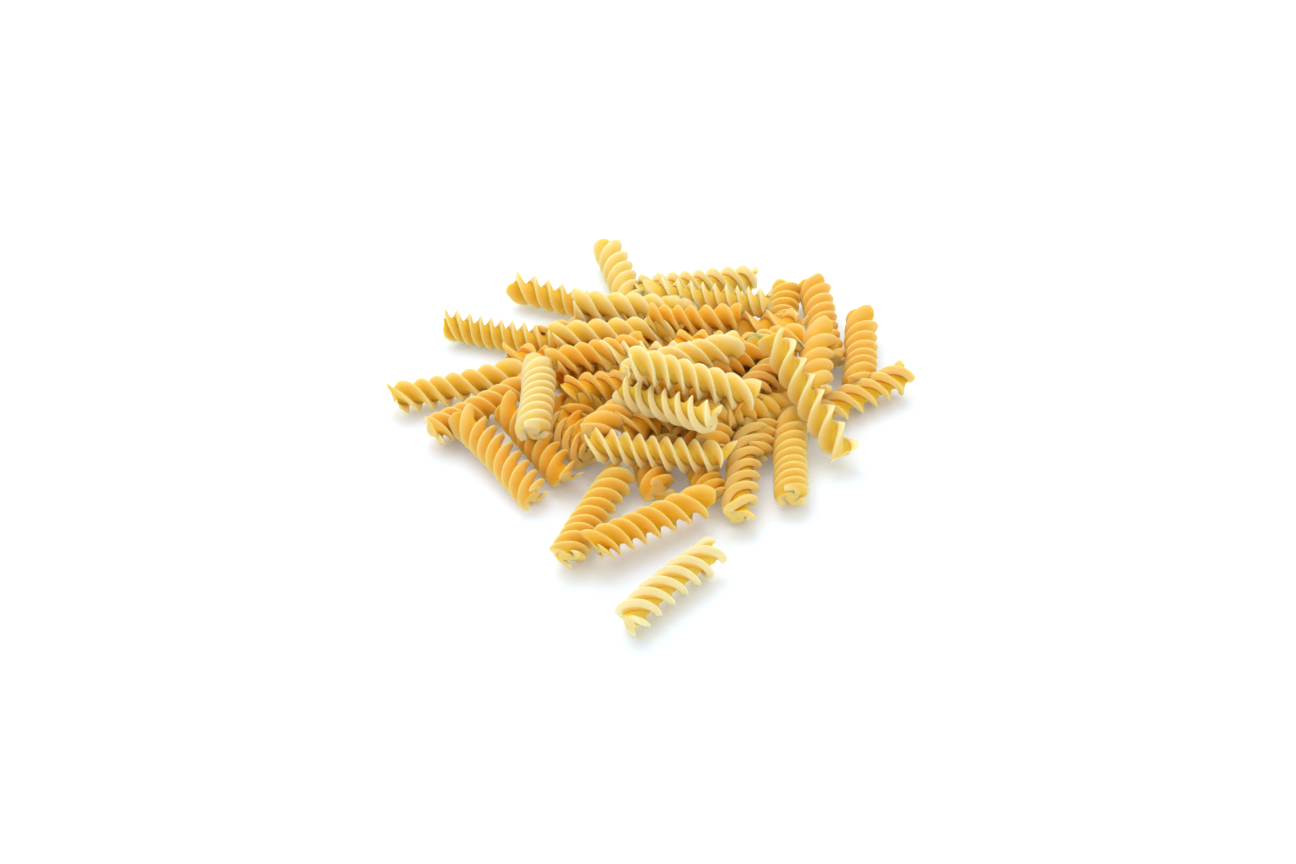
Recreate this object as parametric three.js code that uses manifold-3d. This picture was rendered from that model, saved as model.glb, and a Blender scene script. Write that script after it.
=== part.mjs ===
// A loose heap of dry spiral pasta, with one more spiral lying in front of it.
// Millimetres, +Z up. The origin is on the table, under the low mound of pasta
// that the heap hides. +X is to the right and +Y away from whoever looks at it.

import * as THREE from 'three';
import { mergeVertices } from 'three/addons/utils/BufferGeometryUtils.js';
import Module from 'manifold-3d';

const wasm = await Module();
wasm.setup();

// One spiral: three fins that wind round an axis as a right-handed screw
const FIN_COUNT = 3;
const FIN_REACH = 5.3;
const VALLEY_REACH = 1.5;
const MOST_TURN_PER_STEP = 64;
const BOW = 0.8;

// The mound that carries the upper spirals, hidden under them
const MOUND_CENTRE = { x: 2, y: 12 };
const MOUND_WIDTH = 50;
const MOUND_DEPTH = 48;
const MOUND_HEIGHT = 7.5;
const MOUND_SIDES = 16;
// Its side, as shares of its width and height, from the table to the top
const MOUND_SIDE = [[1, 0], [0.94, 0.4], [0.72, 0.8], [0, 1]];

// Everything under the table top is cut away, which leaves the flat spots
const TABLE_CUT_SIZE = 400;
const TABLE_CUT_DEPTH = 40;

// A piece this small is a crumb of the joining, not a spiral
const SMALLEST_BODY = 100;

// Corners closer together than this are one corner
const SAME_CORNER = 0.0001;

// Where each spiral lies: x, y and z of its middle, the heading of its axis from
// +X towards +Y, its tilt above the table, its length, its roll about the axis
// and its lead, the length of one whole turn
const ON_THE_TABLE = [
  [-14.7, -46.0, 5.2, 69, 0, 38, 65, 12.5],
  [25.8, -27.6, 5.8, 82, 3, 36, 80, 15.0],
  [38.6, -20.0, 5.2, 87, 0, 36, 75, 11.0],
  [57.5, 9.1, 5.2, 36, 0, 35, 0, 15.5],
  [59.9, 31.0, 5.2, 85, 0, 34, 30, 13.0],
  [49.9, 46.0, 5.2, 96, 0, 39.5, 75, 14.0],
  [38.4, 51.0, 5.2, 84, 0, 26, 100, 12.0],
  [14.5, 66.5, 5.2, 9, 0, 33, 40, 12.0],
  [-7.6, 69.3, 5.2, 103, 0, 34, 0, 16.0],
  [-22.9, 58.5, 5.2, -26, 0, 33.5, 45, 12.0],
  [-40.2, 40.6, 5.2, -19, 0, 36, 5, 10.2],
  [-53.5, 14.4, 5.2, 20, 0, 34.5, 15, 14.0],
  [-46.0, 3.0, 5.2, 40, 0, 33, 35, 12.5],
  [-21.5, -2.5, 5.2, -62, 0, 34, 25, 14.0],
  [-9.5, 18.0, 5.2, -4, 0, 33, 0, 10.8],
  [-24.0, 26.5, 5.2, -5, 0, 29, 0, 11.5],
  [23.5, 3.5, 5.2, 80, 0, 32, 65, 11.5],
  [35.5, 24.0, 5.2, 87, 0, 22, 10, 12.0],
  [-0.3, -18.5, 5.2, 101, 0, 33, 0, 12.5],
  [14.0, -20.8, 5.2, 101, 0, 34, 20, 12.0],
  [16.5, 23.5, 5.2, -4, 0, 24, 85, 11.5],
];
const SECOND_LAYER = [
  [0.6, -51.7, 7.0, 36, -1, 36.5, 10, 13.8],
  [-39.8, -20.3, 5.7, -57, -5, 36.5, 35, 12.8],
  [-29.9, -14.8, 6.6, -60, -6, 32, 0, 12.8],
  [43.6, -3.8, 14.8, 123, 29, 38.5, 115, 16.0],
  [27.0, 39.5, 8.6, -19, 13, 34, 35, 20.0],
  [18.5, 50.5, 11.5, -24, 8, 36, 55, 11.0],
  [-5.0, 47.5, 9.5, 10, -11, 33, 30, 16.0],
  [-9.0, 33.5, 10.0, 13, -4, 36, 20, 16.5],
  [3.0, 19.0, 12.0, -9, 5, 35, 75, 14.0],
  [2.9, -26.3, 11.9, -6, -3, 35.5, 50, 11.0],
  [-30.5, -2.5, 12.5, -91, 4, 33, 115, 11.0],
  [-6.0, -7.0, 13.0, 58, -1, 33, 0, 14.0],
  [27.5, -4.5, 10.0, 35, -18, 33, 65, 14.0],
  [47.0, 16.5, 12.0, 84, -3, 33, 55, 20.0],
  [21.5, 23.5, 12.0, -7, 1, 28, 115, 14.0],
];
const ON_TOP = [
  [9.0, 5.5, 19.5, 30, -2, 34, 90, 15.0],
  [5.5, -17.0, 20.5, -39, 8, 31, 65, 13.3],
  [11.8, -10.4, 24.5, 4, -22, 36, 75, 13.5],
];
const IN_FRONT = [5.3, -76.8, 5.2, 53, 0, 35, 50, 16.0];

const PASTA = new THREE.MeshStandardMaterial({ color: 0xe2b04a, roughness: 0.5, metalness: 0 });

// Makes a closed geometry into a solid that can be joined and cut
function solidOf(geometry) {
  const bare = geometry.clone();
  bare.deleteAttribute('normal');
  bare.deleteAttribute('uv');
  const merged = mergeVertices(bare, SAME_CORNER);
  const corners = merged.index.array;
  const triangles = [];
  for (let i = 0; i < corners.length; i += 3) {
    const [a, b, c] = [corners[i], corners[i + 1], corners[i + 2]];
    const collapsed = a === b || b === c || c === a;
    if (!collapsed) triangles.push(a, b, c);
  }
  return new wasm.Manifold(new wasm.Mesh({
    numProp: 3,
    vertProperties: new Float32Array(merged.attributes.position.array),
    triVerts: new Uint32Array(triangles),
  }));
}

function geometryOf(solid) {
  const mesh = solid.getMesh();
  const geometry = new THREE.BufferGeometry();
  geometry.setAttribute('position', new THREE.BufferAttribute(mesh.vertProperties, 3));
  geometry.setIndex(new THREE.BufferAttribute(mesh.triVerts, 1));
  return geometry;
}

// A straight rod turned on a lathe, with a corner for each fin and each valley
function rodGeometry(length, steps) {
  const profile = [new THREE.Vector2(0, -length / 2)];
  for (let i = 0; i <= steps; i += 1) {
    profile.push(new THREE.Vector2(1, -length / 2 + (length * i) / steps));
  }
  profile.push(new THREE.Vector2(0, length / 2));
  return new THREE.LatheGeometry(profile, 2 * FIN_COUNT);
}

// The rod's corners are moved out to the fins and in to the valleys, then each
// is turned in proportion to its height, and the whole is bowed a little
function spiralGeometry(length, lead) {
  const steps = Math.ceil((360 * length) / lead / MOST_TURN_PER_STEP);
  const geometry = rodGeometry(length, steps);
  const corners = geometry.attributes.position;
  const cornerAngle = Math.PI / FIN_COUNT;
  for (let i = 0; i < corners.count; i += 1) {
    const height = corners.getY(i);
    const reach = Math.hypot(corners.getX(i), corners.getZ(i));
    const angle = Math.atan2(corners.getX(i), corners.getZ(i));
    const isFin = Math.round(angle / cornerAngle) % 2 === 0;
    const radius = reach * (isFin ? FIN_REACH : VALLEY_REACH);
    const turned = angle + (2 * Math.PI * height) / lead;
    const along = height / (length / 2);
    const bowed = BOW * (along * along - 0.5);
    corners.setXYZ(i, radius * Math.sin(turned), height, radius * Math.cos(turned) + bowed);
  }
  // The lathe's axis is +Y, and the spiral's is +X
  geometry.rotateZ(-Math.PI / 2);
  return geometry;
}

function placedSpiral([x, y, z, heading, tilt, length, roll, lead]) {
  const geometry = spiralGeometry(length, lead);
  const turn = new THREE.Euler(
    THREE.MathUtils.degToRad(roll),
    THREE.MathUtils.degToRad(-tilt),
    THREE.MathUtils.degToRad(heading),
    'ZYX',
  );
  geometry.applyMatrix4(new THREE.Matrix4().makeRotationFromEuler(turn));
  geometry.translate(x, y, z);
  return solidOf(geometry);
}

// A low round mound with a flat bottom on the table
function mound() {
  const side = MOUND_SIDE.map(([out, up]) => new THREE.Vector2(out, up * MOUND_HEIGHT));
  const profile = [new THREE.Vector2(0, 0), ...side];
  const geometry = new THREE.LatheGeometry(profile, MOUND_SIDES);
  geometry.rotateX(Math.PI / 2);
  geometry.scale(MOUND_WIDTH / 2, MOUND_DEPTH / 2, 1);
  geometry.translate(MOUND_CENTRE.x, MOUND_CENTRE.y, 0);
  return solidOf(geometry);
}

function underTheTable() {
  const geometry = new THREE.BoxGeometry(TABLE_CUT_SIZE, TABLE_CUT_SIZE, TABLE_CUT_DEPTH);
  geometry.translate(0, 0, -TABLE_CUT_DEPTH / 2);
  return solidOf(geometry);
}

// Keeps the one outer body: a sealed hollow comes apart as a body of negative
// volume and is left out, which fills it, and crumbs are dropped
function outerBody(solid) {
  const bodies = solid.decompose().filter((body) => body.volume() > SMALLEST_BODY);
  if (bodies.length !== 1) throw new Error(`the pasta comes apart into ${bodies.length} bodies`);
  return bodies[0];
}

function heap() {
  const placements = [...ON_THE_TABLE, ...SECOND_LAYER, ...ON_TOP];
  const joined = placements.map(placedSpiral).reduce((sum, spiral) => sum.add(spiral), mound());
  return outerBody(joined.subtract(underTheTable()));
}

function named(name, solid) {
  const mesh = new THREE.Mesh(geometryOf(solid), PASTA);
  mesh.name = name;
  return mesh;
}

const group = new THREE.Group();
group.add(named('heap', heap()));
group.add(named('front_spiral', outerBody(placedSpiral(IN_FRONT).subtract(underTheTable()))));

export default group;
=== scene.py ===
import cmath
import math
import random
from collections import namedtuple

import bpy
from mathutils import Euler, Matrix, Vector, noise


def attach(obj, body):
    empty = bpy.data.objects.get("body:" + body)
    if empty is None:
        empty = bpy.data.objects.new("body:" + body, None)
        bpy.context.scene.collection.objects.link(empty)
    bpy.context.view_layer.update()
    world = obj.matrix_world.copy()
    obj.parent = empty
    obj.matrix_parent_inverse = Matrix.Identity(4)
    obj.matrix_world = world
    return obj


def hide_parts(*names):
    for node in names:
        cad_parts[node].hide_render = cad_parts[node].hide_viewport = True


# A loose heap of dry spiral pasta on a white table, with one more spiral in
# front. Lengths are in millimetres until a mesh is made, and angles in degrees.
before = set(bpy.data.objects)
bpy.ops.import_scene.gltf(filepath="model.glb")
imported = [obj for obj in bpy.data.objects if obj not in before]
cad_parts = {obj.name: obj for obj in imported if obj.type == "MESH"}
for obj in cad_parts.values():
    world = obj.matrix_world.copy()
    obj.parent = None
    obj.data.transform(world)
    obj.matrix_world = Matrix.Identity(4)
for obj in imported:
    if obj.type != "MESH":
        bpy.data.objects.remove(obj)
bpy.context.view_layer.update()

MM = 0.001

# The camera looks down at the middle of the heap's bottom, from so many metres. Its
# focal length is in pixels of the photo
PHOTO_WIDTH = 1296
SENSOR_WIDTH = 36.0
FOCAL_PIXELS = 3340
CAMERA_DISTANCE = 0.92
CAMERA_ELEVATION = 35

# The table, in metres, a hair below the flat spots of the pasta
TABLE_REACH = 6.0
TABLE_DROP = 0.0001

# One spiral's section: three curved blades of one thickness, with round tips. Each
# blade starts at a share of its reach, and takes up a share of its room at most
BLADE_COUNT = 3
BLADE_REACH = 5.35
BLADE_START = 0.46
LARGEST_SHARE = 0.78
TIP_LENGTH = 0.45
VALLEY_REACH = 2.3
SIDE_POINTS = 6
TIP_POINTS = 5
# A valley point, then up one side, round the tip and down the other side
BLADE_POINTS = 1 + 2 * SIDE_POINTS + TIP_POINTS

# Rings along a spiral, and the soft edge of its cut ends, with one ring part way
RINGS = 78
CUT_EDGE = 0.22
PART_WAY = 0.3

# Every spiral is bowed a little, and changes its shape near its ends
BOW = 0.8
END_ZONE = 7.0

# Least and most of what differs from spiral to spiral. At each end: how far each
# blade stretches along the axis and flares, as a share, how far all of them curl
# and unwind, and how far the upper side reaches over the lower one
STRETCH = (-0.7, 1.3)
FLARE = (-0.10, 0.08)
CURL = (-10, 40)
UNWIND = (-25, 10)
HOOD = (0.3, 2.8)
# On the whole: its girth, as a share, its two bends, and the drift of its turns
GIRTH = (0.96, 1.03)
SWAY = (-0.7, 0.7)
SWING = (-0.5, 0.5)
DRIFT = (-0.6, 0.6)
NOISE_SEED = (0, 1000)

# Slow changes along each blade: of its reach, as a share, and of its turn, in
# radians. Each has its size, its waves per millimetre and its step between blades
REACH_CHANGE = (0.07, 0.16, 7.3)
TURN_CHANGE = (0.12, 0.12, 3.1)
TURN_SEED_STEP = 50

# Dents all over: their depth, their waves per millimetre and their lean endwise
DENT_DEPTH = 0.10
DENT_WAVES = 0.45
DENT_LEAN = 0.3

# Where each visible spiral lies, the same as in the solid model: x, y and z of its
# middle, the heading of its axis from +X towards +Y, its tilt above the table, its
# length, its roll and its lead. Then how far round its blades curve from root to
# tip and how thick they are, its kind, and its tone from 0, light, to 1, dark
Spiral = namedtuple("Spiral", "x y z heading tilt length roll lead curve thickness kind tone")
# The tone is partly the spiral's own and partly painted shade, darker on the spirals that lie low in the
# heap or in the shade of others
SPIRALS = [
    (-14.7, -46.0, 5.2, 69, 0, 38, 65, 12.5, -40, 1.1, "golden", 0.45),
    (25.8, -27.6, 5.8, 82, 3, 36, 80, 15.0, 35, 1.5, "golden", 0.50),
    (38.6, -20.0, 5.2, 87, 0, 36, 75, 11.0, -75, 1.2, "golden", 0.35),
    (57.5, 9.1, 5.2, 36, 0, 35, 0, 15.5, 30, 1.5, "golden", 0.40),
    (59.9, 31.0, 5.2, 85, 0, 34, 30, 13.0, -75, 1.2, "amber", 0.40),
    (49.9, 46.0, 5.2, 96, 0, 39.5, 75, 14.0, -80, 1.2, "amber", 0.45),
    (38.4, 51.0, 5.2, 84, 0, 26, 100, 12.0, -40, 1.2, "golden", 0.50),
    (14.5, 66.5, 5.2, 9, 0, 33, 40, 12.0, 30, 1.3, "pale", 0.50),
    (-7.6, 69.3, 5.2, 103, 0, 34, 0, 16.0, -80, 1.3, "pale", 0.45),
    (-22.9, 58.5, 5.2, -26, 0, 33.5, 45, 12.0, 40, 1.2, "golden", 0.20),
    (-40.2, 40.6, 5.2, -19, 0, 36, 5, 10.2, 40, 1.2, "golden", 0.25),
    (-53.5, 14.4, 5.2, 20, 0, 34.5, 15, 14.0, -55, 1.2, "golden", 0.20),
    (-46.0, 3.0, 5.2, 40, 0, 33, 35, 12.5, -40, 1.1, "amber", 0.35),
    (-21.5, -2.5, 5.2, -62, 0, 34, 25, 14.0, 45, 1.1, "amber", 0.85),
    (-9.5, 18.0, 5.2, -4, 0, 33, 0, 10.8, 12, 0.9, "amber", 0.90),
    (-24.0, 26.5, 5.2, -5, 0, 29, 0, 11.5, 20, 1.1, "amber", 0.65),
    (23.5, 3.5, 5.2, 80, 0, 32, 65, 11.5, -40, 1.2, "amber", 0.70),
    (35.5, 24.0, 5.2, 87, 0, 22, 10, 12.0, -40, 1.2, "golden", 0.70),
    (-0.3, -18.5, 5.2, 101, 0, 33, 0, 12.5, -40, 1.2, "amber", 0.75),
    (14.0, -20.8, 5.2, 101, 0, 34, 20, 12.0, -40, 1.2, "amber", 0.80),
    (16.5, 23.5, 5.2, -4, 0, 24, 85, 11.5, 20, 1.2, "amber", 0.80),
    (0.6, -51.7, 7.0, 36, -1, 36.5, 10, 13.8, -50, 0.9, "golden", 0.55),
    (-39.8, -20.3, 5.7, -57, -5, 36.5, 35, 12.8, 60, 1.0, "amber", 0.30),
    (-29.9, -14.8, 6.6, -60, -6, 32, 0, 12.8, 60, 1.0, "amber", 0.60),
    (43.6, -3.8, 14.8, 123, 29, 38.5, 115, 16.0, -35, 1.2, "pale", 0.50),
    (27.0, 39.5, 8.6, -19, 13, 34, 35, 20.0, 50, 1.3, "amber", 0.35),
    (18.5, 50.5, 11.5, -24, 8, 36, 55, 11.0, 50, 1.2, "pale", 0.50),
    (-5.0, 47.5, 9.5, 10, -11, 33, 30, 16.0, -80, 1.3, "pale", 0.45),
    (-9.0, 33.5, 10.0, 13, -4, 36, 20, 16.5, -60, 1.3, "pale", 0.70),
    (3.0, 19.0, 12.0, -9, 5, 35, 75, 14.0, 40, 1.2, "pale", 0.35),
    (2.9, -26.3, 11.9, -6, -3, 35.5, 50, 11.0, -30, 1.0, "pale", 0.55),
    (-30.5, -2.5, 12.5, -91, 4, 33, 115, 11.0, 80, 1.1, "pale", 0.30),
    (-6.0, -7.0, 13.0, 58, -1, 33, 0, 14.0, -85, 1.2, "amber", 0.50),
    (27.5, -4.5, 10.0, 35, -18, 33, 65, 14.0, -85, 1.3, "golden", 0.55),
    (47.0, 16.5, 12.0, 84, -3, 33, 55, 20.0, -75, 1.3, "amber", 0.30),
    (21.5, 23.5, 12.0, -7, 1, 28, 115, 14.0, 30, 1.2, "golden", 0.80),
    (9.0, 5.5, 19.5, 30, -2, 34, 90, 15.0, -45, 1.2, "pale", 0.35),
    (5.5, -17.0, 20.5, -39, 8, 31, 65, 13.3, -40, 1.35, "pale", 0.55),
    (11.8, -10.4, 24.5, 4, -22, 36, 75, 13.5, -40, 1.1, "pale", 0.25),
]
FRONT_SPIRAL = (5.3, -76.8, 5.2, 53, 0, 35, 50, 16.0, 15, 1.6, "pale", 0.35)

# Spirals inside the heap, which show only through its gaps
INNER_SPIRALS = [
    (5.0, 2.0, 5.4, 100, 0, 32, 10, 12.0, 40, 1.2, "amber", 0.6),
    (0.0, 33.0, 5.4, 5, 0, 32, 40, 12.0, 40, 1.2, "amber", 0.6),
    (6.0, 46.0, 5.4, -10, 0, 34, 60, 12.0, 40, 1.2, "amber", 0.6),
    (33.0, 34.0, 5.4, 60, 0, 24, 20, 12.0, 40, 1.2, "amber", 0.6),
    (-16.0, 43.0, 5.4, 20, 0, 28, 70, 12.0, 40, 1.2, "amber", 0.5),
    (7.0, -10.0, 12.0, 20, 0, 30, 20, 12.0, 40, 1.2, "amber", 0.6),
    (-8.0, 8.0, 10.0, 10, 0, 30, 80, 12.0, 40, 1.2, "amber", 0.6),
    (33.0, 10.0, 12.0, 60, 0, 28, 0, 12.0, 40, 1.2, "amber", 0.5),
    (24.0, 14.0, 14.0, 40, 0, 24, 30, 12.0, -60, 1.2, "amber", 0.4),
    (20.0, -10.0, 11.0, 75, 0, 26, 30, 12.0, -60, 1.2, "amber", 0.5),
    (-14.0, 10.0, 6.0, 60, 0, 26, 30, 12.0, -60, 1.2, "amber", 0.6),
    (4.0, -16.0, 6.0, 80, 0, 20, 30, 12.0, -60, 1.2, "amber", 0.6),
    (12.0, -6.0, 15.5, -20, -10, 26, 30, 12.0, -60, 1.2, "amber", 0.5),
    (-14.0, 20.0, 12.0, 20, 0, 26, 30, 12.0, -60, 1.2, "amber", 0.5),
    (13.0, 38.0, 12.0, 0, 0, 26, 30, 12.0, -60, 1.2, "amber", 0.5),
    (33.0, 22.0, 14.0, 20, 0, 20, 30, 12.0, -60, 1.2, "amber", 0.4),
    (32.5, -4.0, 5.4, 75, 0, 30, 30, 12.0, -60, 1.2, "amber", 0.3),
    (-24.0, -8.0, 5.4, -55, 0, 28, 30, 12.0, -60, 1.2, "amber", 0.4),
]

# Each kind's colours: light and dark on the blades' rims, with a painted highlight, then in the valleys,
# with painted shade
COLOURS = {
    "golden": ((0.96, 0.74, 0.34), (0.94, 0.59, 0.09), (0.95, 0.61, 0.05), (0.93, 0.47, 0.008)),
    "pale": ((0.97, 0.83, 0.53), (0.96, 0.73, 0.29), (0.96, 0.69, 0.11), (0.94, 0.56, 0.03)),
    "amber": ((0.96, 0.70, 0.31), (0.94, 0.54, 0.06), (0.95, 0.57, 0.05), (0.94, 0.42, 0.006)),
}
# How narrow the pale rims with their painted highlight are, how pale the cut ends, and how the tone
# varies
RIM_HIGHLIGHT_POWER = 4.0
CUT_PALENESS = 0.5
PATCHES_PER_METRE = 130.0
PATCH_CONTRAST = 0.5
# The valleys' shine is turned down as painted shade, and the rims shine more by so much
VALLEY_GLOSS = 0.02
RIM_GLOSS = 0.24
# The grain: streaks along the blades, and dust
NOISE_DETAIL = 2.0
STREAKS_ROUND = 60.0
STREAKS_PER_MM = 0.12
STREAK_SHARE = 0.7
DUST_PER_METRE = 2600.0
DUST_SHARE = 0.3
SMOOTHEST = 0.38
STREAK_ROUGHNESS = 0.2


def smooth(x):
    x = min(1.0, max(0.0, x))
    return x * x * (3 - 2 * x)


# One blade's outline in the section: up one side, round the tip and down the other,
# as distance from the axis, angle round it, and how far out, from 0 to 1. A blade
# winds round the axis, so its section is wider than the blade is thick, up to the
# largest share of the room that it has between its neighbours
def blade_outline(lead, curve, thickness):
    def half_width(reach, t):
        room = 2 * math.pi * reach / BLADE_COUNT / math.hypot(1, 2 * curve * t * t)
        width = thickness * math.hypot(1, 2 * math.pi * reach / lead)
        return min(width, LARGEST_SHARE * room) / 2

    slant = math.atan(2 * abs(curve))
    corner = half_width(BLADE_REACH, 1) * math.sin(slant)
    reach = BLADE_REACH - corner - TIP_LENGTH * math.cos(slant)
    right, left = [], []
    for i in range(SIDE_POINTS):
        t = BLADE_START + (1 - BLADE_START) * i / (SIDE_POINTS - 1)
        middle = cmath.rect(reach * t, curve * t * t)
        ahead = cmath.rect(1, curve * t * t) * complex(1, 2 * curve * t * t)
        ahead /= abs(ahead)
        half = half_width(reach * t, t)
        right.append((middle - 1j * ahead * half, t))
        left.append((middle + 1j * ahead * half, t))
    tip = []
    for i in range(TIP_POINTS):
        angle = math.pi * ((i + 1) / (TIP_POINTS + 1) - 0.5)
        round_tip = complex(TIP_LENGTH * math.cos(angle), half * math.sin(angle))
        tip.append((middle + ahead * round_tip, 1.0))
    outline = []
    for point, t in right + tip + left[::-1]:
        curved = curve * t * t
        outline.append((abs(point), cmath.phase(point / cmath.rect(1, curved)) + curved, t))
    return outline


# The whole section, as distance from the axis, angle round it, blade number and
# how far out the point is, 0 in a valley and 1 on a blade's tip
def section(lead, curve, thickness):
    outline = blade_outline(lead, curve, thickness)
    share = 2 * math.pi / BLADE_COUNT
    ring = []
    for blade in range(BLADE_COUNT):
        middle = blade * share
        ring.append((VALLEY_REACH, middle - share / 2, blade, 0.0))
        ring += [(reach, middle + angle, blade, out) for reach, angle, out in outline]
    return ring


# Places of the rings along the axis, closer together at the cut ends
def ring_places(length):
    first = -length / 2
    places = [first, first + PART_WAY * CUT_EDGE, first + CUT_EDGE]
    inner = length - 2 * CUT_EDGE
    places += [first + CUT_EDGE + inner * i / RINGS for i in range(1, RINGS)]
    places += [-p for p in reversed(places[:3])]
    return places


# How a spiral differs from its neighbours
def habit(rng):
    ends = []
    for _ in range(2):
        ends.append({
            "stretch": [rng.uniform(*STRETCH) for _ in range(BLADE_COUNT)],
            "flare": [rng.uniform(*FLARE) for _ in range(BLADE_COUNT)],
            "curl": math.radians(rng.uniform(*CURL)),
            "unwind": math.radians(rng.uniform(*UNWIND)),
            "hood": rng.uniform(*HOOD),
        })
    return {
        "ends": ends,
        "girth": rng.uniform(*GIRTH),
        "sway": rng.uniform(*SWAY),
        "swing": rng.uniform(*SWING),
        "drift": rng.uniform(*DRIFT),
        "seed": rng.uniform(*NOISE_SEED),
    }


# A slow change along one blade, different for each blade and each spiral
def blade_change(change, place, blade, seed):
    size, waves, step = change
    return size * noise.noise(Vector((place * waves, blade * step, seed)))


# The points of one spiral along +X, with how far out each one is
def spiral_points(length, roll, lead, curve, thickness, how):
    ring = section(lead, curve, thickness)
    seed = how["seed"]
    points, outs = [], []
    for place in ring_places(length):
        from_end = length / 2 - abs(place)
        end = how["ends"][0 if place < 0 else 1]
        sign = -1 if place < 0 else 1
        near = smooth(1 - from_end / END_ZONE)
        cut = min(1.0, from_end / CUT_EDGE)
        trim = CUT_EDGE * (1 - math.sqrt(1 - (1 - cut) ** 2))
        along = place / (length / 2)
        bow = BOW * (along * along - 0.5) + how["swing"] * math.sin(math.pi * along)
        sway = how["sway"] * (along * along - 0.5)
        wound = place + how["drift"] * math.cos(math.pi * along)
        curl = math.copysign(near * end["curl"], curve)
        for reach, angle, blade, out in ring:
            grow = 1 + blade_change(REACH_CHANGE, place, blade, seed) + near * end["flare"][blade]
            r = (VALLEY_REACH + (reach - VALLEY_REACH) * grow) * how["girth"]
            r -= trim * out
            turn = 2 * math.pi * wound / lead + sign * near * end["unwind"]
            turn += blade_change(TURN_CHANGE, place, blade, seed + TURN_SEED_STEP)
            a = angle + turn + curl * out * out
            height = r * math.cos(a + roll)
            stretch = end["stretch"][blade] * out + end["hood"] * height / BLADE_REACH
            point = Vector((place + sign * near * stretch, sway - r * math.sin(a), r * math.cos(a) + bow))
            dent = noise.noise(point * DENT_WAVES + Vector((seed, 0, 0)))
            point += Vector((DENT_LEAN, -math.sin(a), math.cos(a))) * DENT_DEPTH * dent
            points.append(point)
            outs.append(out)
    return points, outs


# A cut end: each blade is a strip of quads between its two sides, and the middle
# is one polygon through the blades' roots
def cut_faces(start, flip):
    apex = BLADE_POINTS // 2
    faces, middle = [], []
    for blade in range(BLADE_COUNT):
        first = start + blade * BLADE_POINTS
        last = first + BLADE_POINTS
        for i in range(1, apex - 1):
            faces.append((first + i, first + i + 1, last - i - 1, last - i))
        faces.append((first + apex - 1, first + apex, first + apex + 1))
        middle += [first, first + 1, last - 1]
    faces.append(tuple(middle))
    return [tuple(reversed(f)) for f in faces] if flip else faces


# One spiral's placed points, its faces, and what the material reads at each point.
# The points of the two cut ends are repeated, so that the cuts stay crisp
def spiral_mesh(spiral, how):
    roll = math.radians(spiral.roll)
    curve = math.radians(spiral.curve)
    points, outs = spiral_points(spiral.length, roll, spiral.lead, curve, spiral.thickness, how)
    count = BLADE_COUNT * BLADE_POINTS
    rings = len(points) // count
    faces = []
    for i in range(rings - 1):
        for j in range(count):
            k = (j + 1) % count
            a, b = i * count + j, i * count + k
            faces.append((a, a + count, b + count, b))
    cuts = [0.0] * len(points)
    for ring, flip in ((0, False), (rings - 1, True)):
        start = len(points)
        points += points[ring * count:(ring + 1) * count]
        outs += outs[ring * count:(ring + 1) * count]
        cuts += [1.0] * count
        faces += cut_faces(start, flip)
    arcs = [(i % count) / count for i in range(len(points))]
    alongs = [p.x + how["seed"] for p in points]
    turn = Euler((roll, math.radians(-spiral.tilt), math.radians(spiral.heading)), "XYZ")
    place = Matrix.Translation((spiral.x, spiral.y, spiral.z)) @ turn.to_matrix().to_4x4()
    placed = [place @ p for p in points]
    for p in placed:
        p.z = max(p.z, 0.0)
    # The tone is partly the spiral's own and partly painted shade on spirals in the shade of others
    tones = [spiral.tone] * len(points)
    return placed, faces, {"out": outs, "cut": cuts, "tone": tones, "arc": arcs, "along": alongs}


def joined_mesh(name, rows, seed):
    verts, faces = [], []
    values = {}
    for number, row in enumerate(rows):
        how = habit(random.Random(seed * 1000 + number))
        points, polygons, read = spiral_mesh(Spiral(*row), how)
        first = len(verts)
        verts += [p * MM for p in points]
        faces += [tuple(i + first for i in f) for f in polygons]
        for key, numbers in read.items():
            values.setdefault(key, []).extend(numbers)
    mesh = bpy.data.meshes.new(name)
    mesh.from_pydata(verts, [], faces)
    for key, numbers in values.items():
        attribute = mesh.attributes.new(key, "FLOAT", "POINT")
        attribute.data.foreach_set("value", numbers)
    mesh.polygons.foreach_set("use_smooth", [True] * len(mesh.polygons))
    piece = bpy.data.objects.new(name, mesh)
    bpy.context.scene.collection.objects.link(piece)
    return piece


# Node helpers
def add(tree, kind, **settings):
    node = tree.nodes.new(kind)
    for key, value in settings.items():
        setattr(node, key, value)
    return node


def attribute_value(tree, name):
    return add(tree, "ShaderNodeAttribute", attribute_name=name).outputs["Fac"]


def math_node(tree, operation, *inputs, clamp=False):
    node = add(tree, "ShaderNodeMath", operation=operation, use_clamp=clamp)
    for socket, value in zip(node.inputs, inputs):
        if isinstance(value, (int, float)):
            socket.default_value = value
        else:
            tree.links.new(value, socket)
    return node.outputs[0]


def mix_colour(tree, factor, low, high):
    node = add(tree, "ShaderNodeMix", data_type="RGBA")
    for socket, value in ((node.inputs[0], factor), (node.inputs[6], low), (node.inputs[7], high)):
        if isinstance(value, tuple):
            socket.default_value = (*value, 1.0)
        else:
            tree.links.new(value, socket)
    return node.outputs[2]


def noise_value(tree, scale, vector=None):
    node = add(tree, "ShaderNodeTexNoise")
    node.inputs["Scale"].default_value = scale
    node.inputs["Detail"].default_value = NOISE_DETAIL
    if vector is None:
        vector = add(tree, "ShaderNodeTexCoord").outputs["Object"]
    tree.links.new(vector, node.inputs["Vector"])
    return node.outputs["Fac"]
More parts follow.
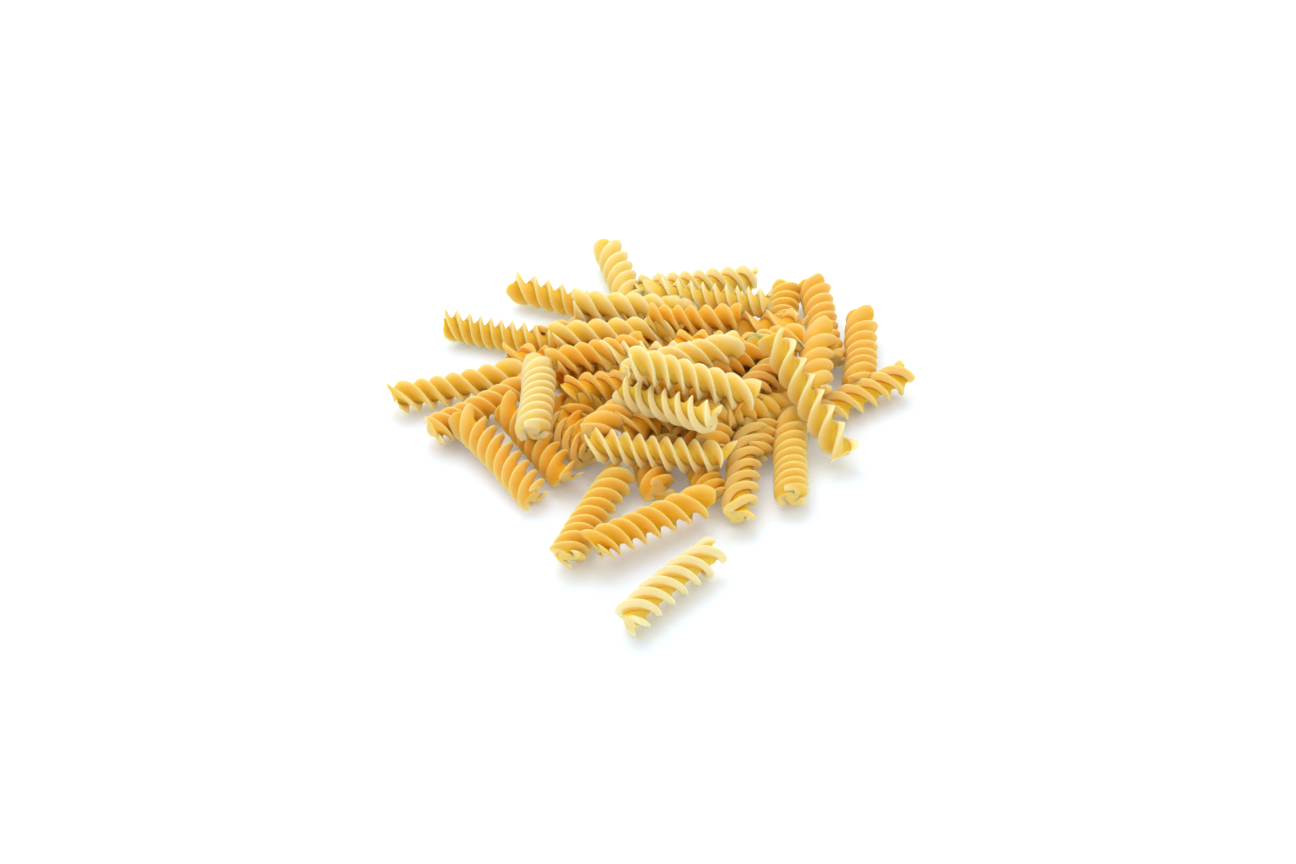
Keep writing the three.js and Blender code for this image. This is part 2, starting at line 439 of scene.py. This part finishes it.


# Paler on the thin rims of the blades, a painted highlight, and on the cut ends, and deeper in the
# valleys, a painted shade
def pasta_colour(tree, shader, light_rim_highlight, dark_rim_highlight, light_valley_shade, dark_valley_shade):
    patches = noise_value(tree, PATCHES_PER_METRE)
    shift = math_node(tree, "MULTIPLY_ADD", patches, PATCH_CONTRAST, -PATCH_CONTRAST / 2)
    # Darker with each spiral's tone, which is partly painted shade, and in random patches
    shade = math_node(tree, "ADD", attribute_value(tree, "tone"), shift, clamp=True)
    # The rims' colour is a painted highlight, and the valleys' colour is painted shade
    rim_highlight = mix_colour(tree, shade, light_rim_highlight, dark_rim_highlight)
    valley_shade = mix_colour(tree, shade, light_valley_shade, dark_valley_shade)
    # How far a point lies towards a blade's tip decides how much painted highlight replaces painted shade
    highlight_share = math_node(tree, "POWER", attribute_value(tree, "out"), RIM_HIGHLIGHT_POWER)
    body = mix_colour(tree, highlight_share, valley_shade, rim_highlight)
    paleness = math_node(tree, "MULTIPLY", attribute_value(tree, "cut"), CUT_PALENESS)
    tree.links.new(mix_colour(tree, paleness, body, light_rim_highlight), shader.inputs["Base Color"])
    # Less shine in the valleys, as painted shade
    gloss = math_node(tree, "MULTIPLY_ADD", highlight_share, RIM_GLOSS, VALLEY_GLOSS)
    tree.links.new(gloss, shader.inputs["Specular IOR Level"])


# Faint streaks along the blades from the die, and a fine dusty grain
def pasta_grain(tree, shader):
    place = add(tree, "ShaderNodeCombineXYZ")
    round_place = math_node(tree, "MULTIPLY", attribute_value(tree, "arc"), STREAKS_ROUND)
    along_place = math_node(tree, "MULTIPLY", attribute_value(tree, "along"), STREAKS_PER_MM)
    tree.links.new(round_place, place.inputs[0])
    tree.links.new(along_place, place.inputs[1])
    streaks = noise_value(tree, 1.0, place.outputs[0])
    dust = noise_value(tree, DUST_PER_METRE)
    streak_height = math_node(tree, "MULTIPLY", streaks, STREAK_SHARE)
    dust_height = math_node(tree, "MULTIPLY", dust, DUST_SHARE)
    bump = add(tree, "ShaderNodeBump")
    bump.inputs["Strength"].default_value = 0.25
    bump.inputs["Distance"].default_value = 0.0002
    tree.links.new(math_node(tree, "ADD", streak_height, dust_height), bump.inputs["Height"])
    tree.links.new(bump.outputs["Normal"], shader.inputs["Normal"])
    roughness = math_node(tree, "MULTIPLY_ADD", streaks, STREAK_ROUGHNESS, SMOOTHEST)
    tree.links.new(roughness, shader.inputs["Roughness"])


# Dry pasta, which light enters and leaves again a millimetre away
def pasta(kind):
    material = bpy.data.materials.new(f"{kind}_pasta")
    material.use_nodes = True
    tree = material.node_tree
    shader = tree.nodes["Principled BSDF"]
    pasta_colour(tree, shader, *COLOURS[kind])
    pasta_grain(tree, shader)
    shader.inputs["IOR"].default_value = 1.45
    shader.inputs["Subsurface Weight"].default_value = 1.0
    shader.inputs["Subsurface Radius"].default_value = (1.0, 0.90, 0.60)
    shader.inputs["Subsurface Scale"].default_value = 0.0013
    return material


# A white surface with a faint glow of its own, which softens the shadows on it
def white_table():
    material = bpy.data.materials.new("white_table")
    material.use_nodes = True
    shader = material.node_tree.nodes["Principled BSDF"]
    shader.inputs["Base Color"].default_value = (0.83, 0.91, 1.0, 1.0)
    shader.inputs["Roughness"].default_value = 0.6
    shader.inputs["Emission Color"].default_value = (0.92, 0.96, 1.0, 1.0)
    shader.inputs["Emission Strength"].default_value = 0.12
    return material


def table():
    sides = [(-1, -1), (1, -1), (1, 1), (-1, 1)]
    corners = [(x * TABLE_REACH, y * TABLE_REACH, -TABLE_DROP) for x, y in sides]
    mesh = bpy.data.meshes.new("table")
    mesh.from_pydata(corners, [], [(0, 1, 2, 3)])
    floor = bpy.data.objects.new("table", mesh)
    bpy.context.scene.collection.objects.link(floor)
    floor.data.materials.append(white_table())


def area_light(name, place, aim, size, watts, colour):
    data = bpy.data.lights.new(name, "AREA")
    data.shape = "DISK"
    data.size = size
    data.energy = watts
    data.color = colour
    light = bpy.data.objects.new(name, data)
    light.location = place
    light.rotation_euler = (Vector(aim) - Vector(place)).to_track_quat("-Z", "Y").to_euler()
    bpy.context.scene.collection.objects.link(light)


# A bright white room, and one broad light above and behind the heap, in metres
def lights():
    world = bpy.data.worlds.new("studio")
    world.use_nodes = True
    sky = world.node_tree.nodes["Background"]
    sky.inputs["Color"].default_value = (0.97, 0.985, 1.0, 1.0)
    sky.inputs["Strength"].default_value = 0.9
    bpy.context.scene.world = world
    area_light(
        "top_light",
        place=(-0.12, 0.35, 0.75),
        aim=(0, 0, 0),
        size=0.7,
        watts=2.4,
        colour=(1.0, 0.99, 0.98),
    )


def camera():
    data = bpy.data.cameras.new("camera")
    data.sensor_width = SENSOR_WIDTH
    data.lens = FOCAL_PIXELS * SENSOR_WIDTH / PHOTO_WIDTH
    data.clip_start = 0.01
    data.clip_end = 20.0
    rig = bpy.data.objects.new("camera", data)
    raised = math.radians(CAMERA_ELEVATION)
    back = Vector((0, -math.cos(raised), math.sin(raised)))
    rig.location = back * CAMERA_DISTANCE
    rig.rotation_euler = (-back).to_track_quat("-Z", "Y").to_euler()
    bpy.context.scene.collection.objects.link(rig)
    bpy.context.scene.camera = rig


def pasta_pieces():
    kinds = {kind: pasta(kind) for kind in COLOURS}
    for seed, (kind, material) in enumerate(kinds.items(), start=1):
        rows = [row for row in SPIRALS if Spiral(*row).kind == kind]
        piece = joined_mesh(f"{kind}_spirals", rows, seed)
        piece.data.materials.append(material)
        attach(piece, "root")
        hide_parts("heap")
    inner = joined_mesh("inner_spirals", INNER_SPIRALS, seed=7)
    inner.data.materials.append(kinds["amber"])
    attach(inner, "root")
    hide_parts("heap")
    front = joined_mesh("front_spiral_pasta", [FRONT_SPIRAL], seed=9)
    front.data.materials.append(kinds["pale"])
    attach(front, "root")
    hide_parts("front_spiral")


camera()
lights()
table()
pasta_pieces()
bpy.context.scene.view_settings.view_transform = "Standard"
